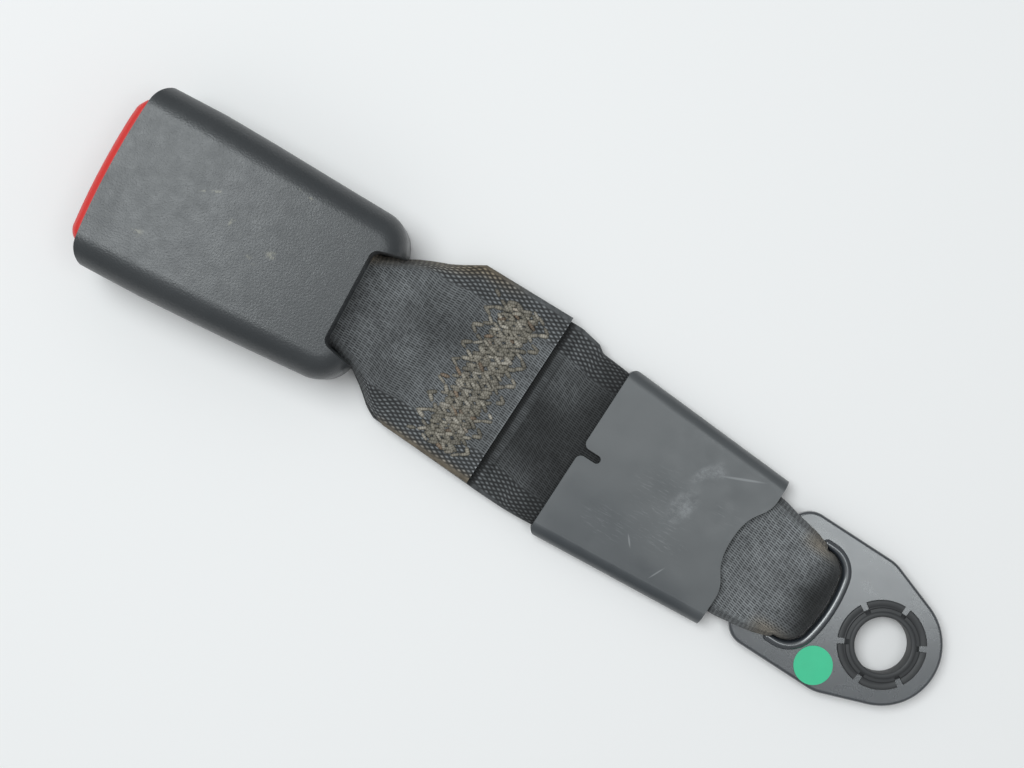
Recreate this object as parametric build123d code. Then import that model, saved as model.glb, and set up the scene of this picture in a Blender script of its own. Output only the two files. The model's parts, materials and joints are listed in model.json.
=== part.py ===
from build123d import *
import math
import os

# Frame: origin in the middle of the anchor plate's bolt hole, +Z up along the bolt.
# +X runs parallel to the buckle's long axis, from the anchor end to the mouth of the buckle.
# Two sets of local coordinates are used besides it.
# "strap": origin at the bolt hole, x along the strap, which lies at STRAP_YAW to the buckle.
# "buckle": x from the lobe tips to the mouth, y across, z from the surface the buckle lies on.

# Webbing
WEB_T = 1.25
LAYER_GAP = 0.1
FOLD_INNER = 2.9
SOFT_GAP = 0.4
STRAP_RUN = 149.4
STRAP_SHIFT = -1.15
STRAP_YAW = 4.66
TOP_LAYER_END = 108.6
INNER_LAYER_END = 134.2
SPLIT_X = 141.3
WEB_EDGE_LEFT = [(31.5, 14.6), (36, 15.7), (42, 17), (50.3, 19.0), (97.5, 22.6), (105, 22.4), (134.3, 21.8)]
WEB_EDGE_RIGHT = [(31.5, 14.6), (36, 15.8), (42, 17.4), (50.3, 19.2), (97.5, 22.5), (105, 25.2), (134.3, 25.2)]
SPLIT_LEFT = 18.9
SPLIT_RIGHT = 20.0
FOLD_START = 3.0
ROOT_PAST_SLOT = 0.7
BEND_PAST_PLATE = 1.0
LEG_BEND_R = 3.0
THROAT_FLARE = 1.6
FLARE_LEFT = 1.5
FLARE_RIGHT = 3.5
LIFT_OVERLAP = 4.0
LIFT_START = 2.0
LIFT_R = 4.0

# Stitched block
STITCH_X0 = 111.5
STITCH_W = 40.5
STITCH_PITCH = 5.1
STITCH_SWING = 1.6
STITCH_COLUMNS = [1.6, 5.6, 7.9, 10.2, 12.5, 16.4]
THREAD_W = 0.9
THREAD_T = 0.35

# Anchor plate
PLATE_T = 3.0
PLATE_HALF = 19.1
PLATE_FAR = 35.65
NOSE_R = 15.35
NEAR_R = 10.0
NEAR_X = 9.6
FAR_R = 5.8
PLATE_EDGE_R = 0.8
SLOT_NOSE_X = 16.4
SLOT_CORNER_X = 18.7
SLOT_HALF = 12.6
SLOT_FAR_X = 27.8
SLOT_NOSE_CORNER_R = 6.0
SLOT_FAR_CORNER_R = 2.0
BEAD_R = 1.15
BEAD_Z = 1.3
BEAD_END_X = 25.0

# Bolt bush and marker
BORE_R = 7.05
HUB_R = 9.3
BUSH_HOLE_GAP = 0.1
FLANGE_R = 11.2
FLANGE_T = 1.0
HUB_RISE = 1.35
BUSH_SLITS = 6
SLIT_W = 1.0
SLIT_START = -93.0
DOT_X = 11.6
DOT_Y = 13.6
DOT_R = 4.9
DOT_T = 0.2

# Sleeve
SLEEVE_X0 = 41.4
SLEEVE_X1 = 89.3
SLEEVE_NEAR_W = 42.2
SLEEVE_FAR_W = 48.8
SLEEVE_NEAR_Y = -0.4
SLEEVE_FAR_Y = 0.1
SLEEVE_T = 7.0
SLEEVE_SIDE_R = 3.2
SLEEVE_CORNER_R = 2.0
SLEEVE_WALL = 1.0
SLEEVE_INNER_H = 3.9
SLEEVE_INNER_FLAT = 0.2
WAVE_DEPTH = 4.5
WAVE_HALF = 14.5
WAVE_Y = -1.6
WAVE_SHOULDER = 0.68
NOTCH_L = 5.6
NOTCH_W = 2.1
NOTCH_MOUTH_R = 1.6

# Buckle housing
HOUSING_L = 71.8
HOUSING_REAR_W = 43.6
HOUSING_MOUTH_W = 47.1
HOUSING_H = 25.8
HOUSING_REAR_H = 22.6
CREST_TO_MOUTH = 19.8
FORM_PAST_MOUTH = 20.2
TOP_EDGE_R = 6.5
BOTTOM_EDGE_R = 4.0
REAR_CORNER_R = 8.5
MOUTH_CORNER_R = 5.5
MOUTH_SIDE = 1.0
MOUTH_BOW = 1.5
WALL = 2.0
SEAM_Z = 13.0
THROAT_DEPTH = 7.6
LOBE_W = 7.1
THROAT_TAPER = 2.1
THROAT_R = 2.4
THROAT_SLIT = 0.8
APERTURE_R = 3.2
APERTURE_GAP = 0.3

# Frame
FRAME_Z = 8.0
FRAME_T = 2.4
FRAME_TO_WALL = 2.4
EAR_TO_SIDE = 3.4
EAR_X1 = 27.0
BAR_W = 6.0
WEB_SLOT_W = 6.0
WEB_SLOT_R = 1.0
FLANGE_PLATE_T = 2.2
FLANGE_X0 = 26.0
FLANGE_X1 = 57.0
FLANGE_TOP_X0 = 32.0
FLANGE_TOP_X1 = 51.5
FLANGE_REAR_Z = 19.5
FLANGE_FRONT_Z = 16.8
FLANGE_TOP_Z = 22.4
LINER_T = 0.8
LOOP_CLEAR = 0.3
WEB_TO_THROAT = 0.3

# Latch and its pin
RUN_FIT = 0.05
PIN_R = 1.5
PIVOT_X = 30.0
PIVOT_Z = 15.4
KNUCKLE_R = 2.5
KNUCKLE_W = 3.7
LATCH_TO_FLANGE = 0.5
LATCH_T = 1.8
LATCH_END_X = 51.7
LATCH_NECK_X = 44.0
NOSE_L = 3.7
NOSE_HALF = 6.8
NOSE_Z = 14.9
ARM_END_Z = 19.5
LATCH_WINDOW_W = 11.0
LATCH_WINDOW_X0 = 34.5
LATCH_WINDOW_X1 = 40.5

# Ejector
EJECT_X = 43.0
EJECT_L = 5.0
EJECT_TRAVEL = 12.0
EJECT_HALF = 8.0
EJECT_HEAD_T = 1.9
SLIDE_GAP = 0.3
STEM_HALF = 4.2
FOOT_HALF = 7.0
FOOT_H = 4.5
PLATE_WINDOW_X1 = 53.0

# Tongue guide
GUIDE_L = 11.3
GUIDE_BACK = 1.4
GUIDE_TOP_Z = 15.1
TONGUE_EASE = 0.1
TONGUE_Z0 = 10.3
TONGUE_Z1 = 14.7
LEAD_IN = 0.9

# Button and carriage
BUTTON_TO_SIDE = 4.25
BUTTON_Z0 = 15.4
BUTTON_Z1 = 23.4
BUTTON_DEPTH = 11.8
BUTTON_PROUD = 3.2
BUTTON_BOW = 1.0
BUTTON_EDGE_R = 3.0
BUTTON_CORNER_R = 3.6
BUTTON_WALL = 1.8
ARM_W = 2.5
ARM_CLEAR = 2.47
ARM_TO_FLANGE = 0.7
ARM_Z0 = 17.5
ARM_Z1 = 22.2
ARM_X0 = 35.5
CROSSBAR_L = 3.0
PRESS = 5.0
LOCK_X = 38.0
LOCK_Z = 19.9

# Springs
BUTTON_COIL_R = 1.5
BUTTON_WIRE = 0.5
BUTTON_TURNS = 6
EJECT_COIL_R = 2.0
EJECT_WIRE = 0.6
EJECT_TURNS = 8
LATCH_WIRE = 0.5
LATCH_TURNS = 5
COIL_TO_KNUCKLE = 3.6

# Inner ribs and posts of the shells
RIB_T = 2.0
RIB_INSET = 1.5
RIB_X0 = 25.0
SEAT_T = 1.5
SEAT_SIDE = 1.0
EJECT_SEAT_X = 24.5
EJECT_SEAT_HALF = 6.0
BUTTON_SEAT_X = 24.0
POST_X = 20.0
POST_TO_SIDE = 5.7
POST_R = 2.4
PEG_R = 1.4
PEG_TOP_Z = 16.0


def half_width(x):
    """Half of the housing's width at a distance from its rear end."""
    return (HOUSING_REAR_W + (HOUSING_MOUTH_W - HOUSING_REAR_W) * x / HOUSING_L) / 2


# Sizes that follow from the ones above
BIG = 200.0
FLOOR_Z = -(FOLD_INNER + WEB_T)
YAW = math.radians(STRAP_YAW)
BUCKLE_X = STRAP_RUN * math.cos(YAW) + STRAP_SHIFT * math.sin(YAW)
BUCKLE_Y = STRAP_SHIFT * math.cos(YAW) - STRAP_RUN * math.sin(YAW)
REAR_HALF = HOUSING_REAR_W / 2
MOUTH_HALF = HOUSING_MOUTH_W / 2
CREST_X = HOUSING_L - CREST_TO_MOUTH
FORM_END_X = HOUSING_L + FORM_PAST_MOUTH
GUIDE_X0 = HOUSING_L - GUIDE_L
BUTTON_X0 = HOUSING_L - BUTTON_DEPTH
BUTTON_HALF = MOUTH_HALF - BUTTON_TO_SIDE
THROAT_TIP_HALF = REAR_HALF - LOBE_W
THROAT_ROOT_HALF = THROAT_TIP_HALF - THROAT_TAPER
WEB_IN_HALF = THROAT_ROOT_HALF - WEB_TO_THROAT
ARM_Y1 = min(half_width(ARM_X0), half_width(BUTTON_X0)) - WALL - ARM_CLEAR
ARM_Y0 = ARM_Y1 - ARM_W
BODY_HALF = ARM_Y0 - ARM_TO_FLANGE
FLANGE_Y0 = BODY_HALF - FLANGE_PLATE_T
LATCH_HALF = FLANGE_Y0 - LATCH_TO_FLANGE
KNUCKLE_Y0 = LATCH_HALF - KNUCKLE_W
LATCH_COIL_HALF = KNUCKLE_Y0 - COIL_TO_KNUCKLE
TONGUE_HALF = FLANGE_Y0 + TONGUE_EASE
RIB_Y = BODY_HALF - RIB_INSET
POST_Y = REAR_HALF - POST_TO_SIDE
FRAME_X0 = THROAT_DEPTH + WALL + FRAME_TO_WALL
FRAME_X1 = GUIDE_X0 - SLIDE_GAP
EAR_HALF = REAR_HALF - EAR_TO_SIDE
FRAME_TOP = FRAME_Z + FRAME_T
BAR_MID_Z = FRAME_Z + FRAME_T / 2
LOOP_INNER = FRAME_T / 2 + LINER_T + LOOP_CLEAR
LOOP_X = FRAME_X0 + BAR_W + LINER_T - (FRAME_T / 2 + LINER_T)
WEB_SLOT_HALF = WEB_IN_HALF + SOFT_GAP + WEB_SLOT_R


def on_buckle(shape):
    return Pos(BUCKLE_X, BUCKLE_Y, FLOOR_Z) * shape


def on_strap(shape):
    return Rot(0, 0, -STRAP_YAW) * shape


def strap_to_buckle(x, y):
    """A point of the strap's plan in the buckle's plan."""
    across = x * math.cos(YAW) + y * math.sin(YAW) - BUCKLE_X
    return (across, y * math.cos(YAW) - x * math.sin(YAW) - BUCKLE_Y)


def block(x0, x1, y0, y1, z0, z1):
    """A box between two corners."""
    middle = Pos((x0 + x1) / 2, (y0 + y1) / 2, (z0 + z1) / 2)
    return middle * Box(x1 - x0, y1 - y0, z1 - z0)


def cross_block(x0, x1, half, z0, z1):
    """A box centred on y = 0."""
    return block(x0, x1, -half, half, z0, z1)


def side_prism(face, y0, y1):
    """A profile drawn in x and z, extruded from y0 to y1."""
    return Pos(0, y0, 0) * extrude(Plane.XZ * face, y1 - y0, dir=(0, 1, 0))


def prism(face, z0, z1):
    """A plan extruded from z0 to z1."""
    return Pos(0, 0, z0) * extrude(face, z1 - z0, dir=(0, 0, 1))


def both_sides(shape):
    """The shape and its mirror image across y = 0."""
    return shape + mirror(shape, Plane.XZ)


# Anchor plate, bush and marker


def slot_outline(grow):
    """The webbing slot of the anchor plate, grown by an offset."""
    nose = ThreePointArc((SLOT_CORNER_X, SLOT_HALF), (SLOT_NOSE_X, 0), (SLOT_CORNER_X, -SLOT_HALF))
    rest = Polyline((SLOT_CORNER_X, -SLOT_HALF), (SLOT_FAR_X, -SLOT_HALF), (SLOT_FAR_X, SLOT_HALF),
                    (SLOT_CORNER_X, SLOT_HALF))
    face = make_face(nose + rest)
    face = fillet(face.vertices().group_by(Axis.X)[0], SLOT_NOSE_CORNER_R)
    face = fillet(face.vertices().group_by(Axis.X)[-1], SLOT_FAR_CORNER_R)
    return offset(face, grow) if grow else face


def slot_bead():
    """The rolled lip round the nose side and the ends of the slot."""
    path = slot_outline(BEAD_R).face().outer_wire()
    start = path.edges().sort_by(Axis.X)[-1]
    keep = block(0, BEAD_END_X, -BIG, BIG, -BIG, BIG)
    ring = sweep(Plane(start @ 0.5, z_dir=start % 0.5) * Circle(BEAD_R), path)
    ends = [Pos(BEAD_END_X, side * (SLOT_HALF + BEAD_R), 0) * Sphere(BEAD_R) for side in (-1, 1)]
    return Pos(0, 0, BEAD_Z) * ((ring & keep) + ends[0] + ends[1])


def anchor_plate():
    nose = Circle(NOSE_R)
    near = [Pos(NEAR_X, s * (PLATE_HALF - NEAR_R)) * Circle(NEAR_R) for s in (-1, 1)]
    far = [Pos(PLATE_FAR - FAR_R, s * (PLATE_HALF - FAR_R)) * Circle(FAR_R) for s in (-1, 1)]
    plan = make_hull([c.edge() for c in [nose] + near + far])
    plate = prism(plan, -PLATE_T / 2, PLATE_T / 2)
    rims = plate.edges().group_by(Axis.Z)
    plate = fillet(rims[0] + rims[-1], PLATE_EDGE_R)
    plate -= Cylinder(HUB_R + BUSH_HOLE_GAP, BIG)
    plate -= prism(slot_outline(0), -PLATE_T, PLATE_T)
    corners = [e for e in plate.edges() if slot_rim(e)]
    plate = fillet(corners, PLATE_EDGE_R)
    return plate + slot_bead()


def slot_rim(edge):
    """True for the edges where the slot meets the plate's two faces."""
    box = edge.bounding_box()
    near = PLATE_EDGE_R / 8
    inside = box.min.X > SLOT_NOSE_X - near and box.max.X < SLOT_FAR_X + near
    flat = min(abs(box.min.Z), abs(box.max.Z)) > PLATE_T / 2 - near
    return inside and flat and max(abs(box.max.Y), abs(box.min.Y)) < SLOT_HALF + near


def bolt_bush():
    low = -PLATE_T / 2 - FLANGE_T
    face_z = PLATE_T / 2
    top = face_z + HUB_RISE
    profile = Polygon((BORE_R, low), (FLANGE_R, low), (FLANGE_R, -face_z), (HUB_R, -face_z), (HUB_R, face_z),
                      (FLANGE_R, face_z), (FLANGE_R, face_z + FLANGE_T), (HUB_R, face_z + FLANGE_T),
                      (HUB_R, top), (BORE_R, top), align=None)
    bush = revolve(Plane.XZ * profile, Axis.Z)
    slit = block(HUB_R, FLANGE_R + 1, -SLIT_W / 2, SLIT_W / 2, face_z, top)
    for k in range(BUSH_SLITS):
        bush -= Rot(0, 0, SLIT_START + k * 360 / BUSH_SLITS) * slit
    return bush


def marker_dot():
    return Pos(DOT_X, DOT_Y, (PLATE_T + DOT_T) / 2) * Cylinder(DOT_R, DOT_T)


# Webbing


def band(path):
    """A strip of webbing in side view along a centre line."""
    return trace(path, WEB_T)


def anchor_fold():
    """The bulged nose of the webbing loop, concentric with the lip of the slot."""
    sagitta = SLOT_CORNER_X - SLOT_NOSE_X
    lip_r = (SLOT_HALF ** 2 + sagitta ** 2) / (2 * sagitta)
    centre_x = SLOT_NOSE_X + lip_r
    fold_x = fold_centre_x()
    swing = math.degrees(math.asin((SLOT_HALF - SOFT_GAP) / (centre_x - fold_x)))
    ring = Circle(FOLD_INNER + WEB_T) - Circle(FOLD_INNER)
    ring &= Pos(-BIG / 2, 0) * Rectangle(BIG, BIG)
    section = Plane.XZ * Pos(fold_x - centre_x, 0) * ring
    turned = revolve(section, Axis.Z, 2 * swing)
    nose = Pos(centre_x, 0, 0) * Rot(0, 0, -swing) * turned
    return nose & prism(slot_outline(-SOFT_GAP), -BIG, BIG), centre_x, centre_x - fold_x


def fold_centre_x():
    return SLOT_NOSE_X + SOFT_GAP + FOLD_INNER + WEB_T


def strap_plan(x_end):
    """Plan of the strap from the anchor to x_end, in strap coordinates."""
    half = SLOT_HALF - SOFT_GAP
    start_x, root_x = fold_centre_x() - FOLD_START, SLOT_FAR_X + ROOT_PAST_SLOT
    left = [(start_x, half), (root_x, half)] + WEB_EDGE_LEFT
    right = [(start_x, -half), (root_x, -half)] + [(x, -y) for x, y in WEB_EDGE_RIGHT]
    outline = left + [(SPLIT_X, SPLIT_LEFT), (SPLIT_X, -SPLIT_RIGHT)] + right[::-1]
    face = Polygon(*outline, align=None)
    return face & Pos(x_end - BIG / 2, 0) * Rectangle(BIG, BIG)


def strap_layers():
    """The three layers between the anchor and the buckle, in strap coordinates."""
    leg_z = FOLD_INNER + WEB_T / 2
    flat_z = (LAYER_GAP + WEB_T) / 2
    top_z = flat_z + LAYER_GAP + WEB_T
    bend_x = PLATE_FAR + BEND_PAST_PLATE
    meet_x = SLEEVE_X0 - SOFT_GAP
    start_x = fold_centre_x() - FOLD_START
    upper = FilletPolyline((start_x, leg_z), (bend_x, leg_z), (meet_x, flat_z), (INNER_LAYER_END, flat_z),
                           radius=LEG_BEND_R)
    lower = FilletPolyline((start_x, -leg_z), (bend_x, -leg_z), (meet_x, -flat_z), (SPLIT_X, -flat_z),
                           radius=LEG_BEND_R)
    top = Line((TOP_LAYER_END, top_z), (SPLIT_X, top_z))
    fold, centre_x, fold_r = anchor_fold()
    beyond = Pos(centre_x, 0, 0) * Cylinder(fold_r, BIG)
    plan = prism(strap_plan(SPLIT_X), -BIG, BIG)
    layers = [side_prism(band(path), -BIG, BIG) & plan for path in (upper, lower, top)]
    inside = block(0, centre_x, -BIG, BIG, -BIG, BIG) - beyond
    return [layers[0] - inside, layers[1] - inside, layers[2]], fold


def buckle_loop():
    """The strap from the split to its loop round the frame's bar, in buckle coordinates."""
    flat_z = (LAYER_GAP + WEB_T) / 2
    low_z = -flat_z - FLOOR_Z
    top_z = flat_z + LAYER_GAP + WEB_T - FLOOR_Z
    mean_r = LOOP_INNER + WEB_T / 2
    throat_x = THROAT_DEPTH + WALL / 3
    root_x = THROAT_DEPTH - WALL
    start_x = strap_to_buckle(SPLIT_X, 0)[0] - LIFT_OVERLAP
    lift_x = strap_to_buckle(SPLIT_X, 0)[0] + LIFT_START
    top = FilletPolyline((start_x, top_z), (lift_x, top_z), (throat_x, BAR_MID_Z + mean_r),
                         (LOOP_X, BAR_MID_Z + mean_r), radius=LIFT_R)
    low = FilletPolyline((start_x, low_z), (lift_x, low_z), (throat_x, BAR_MID_Z - mean_r),
                         (LOOP_X, BAR_MID_Z - mean_r), radius=LIFT_R)
    turn = ThreePointArc((LOOP_X, BAR_MID_Z + mean_r), (LOOP_X + mean_r, BAR_MID_Z), (LOOP_X, BAR_MID_Z - mean_r))
    profile = trace([top, turn, low], WEB_T)
    left = strap_to_buckle(SPLIT_X, SPLIT_LEFT)
    right = strap_to_buckle(SPLIT_X, -SPLIT_RIGHT)
    tip = THROAT_TIP_HALF - SOFT_GAP
    plan = Polygon((start_x, left[1] - LIFT_OVERLAP), left, (-FLARE_LEFT, tip + THROAT_FLARE), (0, tip),
                   (root_x, WEB_IN_HALF), (BIG, WEB_IN_HALF), (BIG, -WEB_IN_HALF), (root_x, -WEB_IN_HALF),
                   (0, -tip), (-FLARE_RIGHT, -tip - THROAT_FLARE), right, (start_x, right[1] + LIFT_OVERLAP),
                   align=None)
    return side_prism(profile, -BIG, BIG) & prism(plan, -BIG, BIG)


def webbing():
    layers, fold = strap_layers()
    strap = on_strap(fold + layers[0] + layers[1] + layers[2])
    return strap + on_buckle(buckle_loop())


def stitching():
    """Zigzag rows of thread on the top layer, in strap coordinates."""
    top_z = LAYER_GAP * 1.5 + WEB_T * 2
    centre_y = (WEB_EDGE_LEFT[-1][1] - WEB_EDGE_RIGHT[-1][1]) / 2
    steps = 2 * round(STITCH_W / STITCH_PITCH)
    rows = []
    for column in STITCH_COLUMNS:
        points = [(STITCH_X0 + column + STITCH_SWING * (-1) ** k / 2, centre_y + STITCH_W * (k / steps - 0.5))
                  for k in range(steps + 1)]
        rows.append(prism(trace(Polyline(*points), THREAD_W), top_z, top_z + THREAD_T))
    return Part() + rows


# Sleeve


def tube_form(near_w, far_w, height, radius, extra):
    """A flat tapered bar with rounded sides, along x."""
    slope = (far_w - near_w) / (SLEEVE_X1 - SLEEVE_X0)
    drift = (SLEEVE_FAR_Y - SLEEVE_NEAR_Y) / (SLEEVE_X1 - SLEEVE_X0)
    near = Plane((SLEEVE_X0 - extra, SLEEVE_NEAR_Y - drift * extra, 0), x_dir=(0, 1, 0), z_dir=(1, 0, 0))
    far = Plane((SLEEVE_X1 + extra, SLEEVE_FAR_Y + drift * extra, 0), x_dir=(0, 1, 0), z_dir=(1, 0, 0))
    return loft([near * RectangleRounded(near_w - slope * extra, height, radius),
                 far * RectangleRounded(far_w + slope * extra, height, radius)], ruled=True)


def sleeve_plan():
    """The tapered outline of the sleeve, with two rounded corners at its wide end."""
    near, far = SLEEVE_NEAR_W / 2, SLEEVE_FAR_W / 2
    face = Polygon((SLEEVE_X0, SLEEVE_NEAR_Y - near), (SLEEVE_X1, SLEEVE_FAR_Y - far),
                   (SLEEVE_X1, SLEEVE_FAR_Y + far), (SLEEVE_X0, SLEEVE_NEAR_Y + near), align=None)
    return fillet(face.vertices().group_by(Axis.X)[-1], SLEEVE_CORNER_R)


def wave_cut():
    """The wavy end of the sleeve, cut away on the anchor side."""
    shoulder_x, shoulder_y = SLEEVE_X0 + WAVE_SHOULDER * WAVE_DEPTH, WAVE_HALF / 2
    points = [(SLEEVE_X0, WAVE_HALF), (shoulder_x, shoulder_y), (SLEEVE_X0 + WAVE_DEPTH, 0),
              (shoulder_x, -shoulder_y), (SLEEVE_X0, -WAVE_HALF)]
    wave = Spline(*points, tangents=[(0, -1), (0, -1)])
    back_x = SLEEVE_X0 - WAVE_DEPTH
    rest = Polyline((SLEEVE_X0, -WAVE_HALF), (back_x, -WAVE_HALF), (back_x, WAVE_HALF), (SLEEVE_X0, WAVE_HALF))
    return prism(Pos(0, WAVE_Y) * make_face(wave + rest), -BIG, BIG)


def sleeve():
    outer = tube_form(SLEEVE_NEAR_W, SLEEVE_FAR_W, SLEEVE_T, SLEEVE_SIDE_R, 0)
    hollow = tube_form(SLEEVE_NEAR_W - 2 * SLEEVE_WALL, SLEEVE_FAR_W - 2 * SLEEVE_WALL, SLEEVE_INNER_H,
                       (SLEEVE_INNER_H - SLEEVE_INNER_FLAT) / 2, SLEEVE_WALL)
    body = (outer & prism(sleeve_plan(), -BIG, BIG)) - hollow - wave_cut()
    notch = Pos(SLEEVE_X1 - NOTCH_L + NOTCH_W / 2, 0) * Circle(NOTCH_W / 2)
    notch += Pos(SLEEVE_X1, 0) * Rectangle(2 * NOTCH_L - NOTCH_W, NOTCH_W)
    body -= prism(notch, -BIG, BIG)
    mouth = body.edges().filter_by(Axis.Z).group_by(Axis.X)[-1]
    return fillet([e for e in mouth if abs(e.center().Y) < NOTCH_W], NOTCH_MOUTH_R)


# Buckle housing


def mouth_plan(inset):
    """Everything behind the bowed mouth face, with its two rounded corners."""
    half = MOUTH_HALF + MOUTH_SIDE - inset
    end_x = HOUSING_L - inset
    front = ThreePointArc((end_x - MOUTH_BOW, half), (end_x, 0), (end_x - MOUTH_BOW, -half))
    rest = Polyline((end_x - MOUTH_BOW, -half), (-BIG, -half), (-BIG, half), (end_x - MOUTH_BOW, half))
    face = make_face(front + rest)
    return fillet(face.vertices().group_by(Axis.X)[-1], MOUTH_CORNER_R + MOUTH_SIDE - inset)


def housing_form(inset):
    """The closed pillow form of the buckle, shrunk all round by an inset."""
    near, far = half_width(inset) - inset, half_width(FORM_END_X) - inset
    plan = Polygon((inset, -near), (FORM_END_X, -far), (FORM_END_X, far), (inset, near), align=None)
    plan = fillet(plan.vertices().group_by(Axis.X)[0], REAR_CORNER_R - inset)
    crown = ThreePointArc((0, HOUSING_REAR_H - inset), (CREST_X, HOUSING_H - inset),
                          (2 * CREST_X, HOUSING_REAR_H - inset))
    foot = Polyline((2 * CREST_X, HOUSING_REAR_H - inset), (2 * CREST_X, inset), (0, inset),
                    (0, HOUSING_REAR_H - inset))
    form = prism(plan, 0, BIG) & side_prism(make_face(crown + foot), -BIG, BIG)
    top = form.faces().sort_by(Axis.Z)[-1].edges()
    form = fillet([e for e in top if e.center().X < FORM_END_X - 1], TOP_EDGE_R - inset)
    bottom = form.faces().sort_by(Axis.Z)[0].edges()
    form = fillet([e for e in bottom if e.center().X < FORM_END_X - 1], BOTTOM_EDGE_R - inset)
    return form & prism(mouth_plan(inset), 0, BIG)


def throat_notch(grow):
    """The U-shaped cut between the two lobes, grown by a wall."""
    depth = THROAT_DEPTH + grow
    outer, inner = THROAT_TIP_HALF + grow, THROAT_ROOT_HALF + grow
    face = Polygon((-1, -outer), (0, -outer), (depth, -inner), (depth, inner), (0, outer), (-1, outer), align=None)
    root = face.vertices().group_by(Axis.X)[-1]
    return prism(fillet(root, THROAT_R + grow), 0, BIG)


def aperture():
    """The opening in the mouth wall that the button and the tongue guide fill."""
    z0, z1 = FRAME_Z - APERTURE_GAP, BUTTON_Z1 + APERTURE_GAP
    face = RectangleRounded(2 * (BUTTON_HALF + APERTURE_GAP), z1 - z0, APERTURE_R)
    plane = Plane((GUIDE_X0, 0, (z0 + z1) / 2), x_dir=(0, 1, 0), z_dir=(1, 0, 0))
    return extrude(plane * face, BIG, dir=(1, 0, 0))


def throat_opening():
    """The gap in the rear wall that the webbing passes."""
    reach = LOOP_INNER + WEB_T + THROAT_SLIT
    half = WEB_IN_HALF + SOFT_GAP
    return cross_block(-WALL, THROAT_DEPTH + 2 * WALL, half, BAR_MID_Z - reach, BAR_MID_Z + reach)


def closed_shell():
    outer = housing_form(0) - throat_notch(0)
    cavity = housing_form(WALL) - throat_notch(WALL)
    return outer - cavity - aperture() - throat_opening()


def within_housing(shape):
    return shape & housing_form(WALL / 2)


def lower_posts():
    post = prism(Pos(POST_X, POST_Y) * Circle(POST_R), WALL / 2, FRAME_Z)
    peg = prism(Pos(POST_X, POST_Y) * Circle(PEG_R), WALL / 2, PEG_TOP_Z)
    return both_sides(post + peg)


def housing_lower():
    ribs = both_sides(block(RIB_X0, HOUSING_L - WALL, RIB_Y - RIB_T / 2, RIB_Y + RIB_T / 2, WALL / 2, FRAME_Z))
    seat = cross_block(EJECT_SEAT_X - SEAT_T, EJECT_SEAT_X, EJECT_SEAT_HALF, WALL / 2, FRAME_Z - SLIDE_GAP)
    shell = closed_shell() & cross_block(-BIG, BIG, BIG, 0, SEAM_Z)
    return shell + within_housing(ribs + seat + lower_posts())


def housing_upper():
    shell = closed_shell() & cross_block(-BIG, BIG, BIG, SEAM_Z, BIG)
    post = prism(Pos(POST_X, POST_Y) * Circle(POST_R), FRAME_TOP, HOUSING_H)
    socket = prism(Pos(POST_X, POST_Y) * Circle(PEG_R + RUN_FIT), 0, PEG_TOP_Z + RUN_FIT)
    seat = block(BUTTON_SEAT_X - SEAT_T, BUTTON_SEAT_X, ARM_Y0 - SEAT_SIDE, BIG, ARM_Z0, HOUSING_H)
    return shell + within_housing(both_sides(post + seat)) - both_sides(socket)


# Frame and liner


def frame_plate():
    plan = Pos((FRAME_X0 + EAR_X1) / 2, 0) * Rectangle(EAR_X1 - FRAME_X0, 2 * EAR_HALF)
    plan += Pos((FRAME_X0 + FRAME_X1) / 2, 0) * Rectangle(FRAME_X1 - FRAME_X0, 2 * BODY_HALF)
    outer = [v for v in plan.vertices() if abs(v.Y) > BODY_HALF + 1 or v.X > FRAME_X1 - 1]
    plan = fillet(outer, PIN_R)
    slot_x = FRAME_X0 + BAR_W + WEB_SLOT_W / 2
    plan -= Pos(slot_x, 0) * RectangleRounded(WEB_SLOT_W, 2 * WEB_SLOT_HALF, WEB_SLOT_R)
    stem_x0 = EJECT_X - EJECT_TRAVEL - SLIDE_GAP
    plan -= Pos((stem_x0 + EJECT_X + EJECT_L) / 2, 0) * Rectangle(EJECT_X + EJECT_L - stem_x0,
                                                                 2 * (STEM_HALF + SLIDE_GAP))
    window_l = PLATE_WINDOW_X1 - EJECT_X - EJECT_L / 2
    plan -= Pos(PLATE_WINDOW_X1 - window_l / 2, 0) * Rectangle(window_l, 2 * (NOSE_HALF + LOOP_CLEAR))
    for side in (-1, 1):
        plan -= Pos(POST_X, side * POST_Y) * Circle(PEG_R + RUN_FIT)
    return prism(plan, FRAME_Z, FRAME_TOP)


def buckle_frame():
    profile = Polygon((FLANGE_X0, FRAME_TOP), (FLANGE_X0, FLANGE_REAR_Z), (FLANGE_TOP_X0, FLANGE_TOP_Z),
                      (FLANGE_TOP_X1, FLANGE_TOP_Z), (FLANGE_TOP_X1, FLANGE_FRONT_Z), (FLANGE_X1, FRAME_TOP),
                      align=None)
    profile -= Pos(PIVOT_X, PIVOT_Z) * Circle(PIN_R + RUN_FIT)
    profile -= Pos(LOCK_X - PRESS / 2, LOCK_Z) * SlotCenterToCenter(PRESS, 2 * (PIN_R + RUN_FIT))
    return frame_plate() + both_sides(side_prism(profile, FLANGE_Y0, BODY_HALF))


def bar_liner():
    """A plastic sleeve clipped round the bar, which the webbing rubs on."""
    half_h = FRAME_T / 2 + LINER_T
    outer = Pos(LOOP_X, 0) * Circle(half_h) + Pos(LOOP_X - BAR_W / 2, 0) * Rectangle(BAR_W, 2 * half_h)
    bar = Pos(FRAME_X0 + BAR_W - BIG / 2, 0) * Rectangle(BIG, FRAME_T)
    half = WEB_SLOT_HALF - WEB_SLOT_R
    return Pos(0, 0, BAR_MID_Z) * side_prism(outer - bar, -half, half)


# Latch, lock pin and their spring


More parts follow.
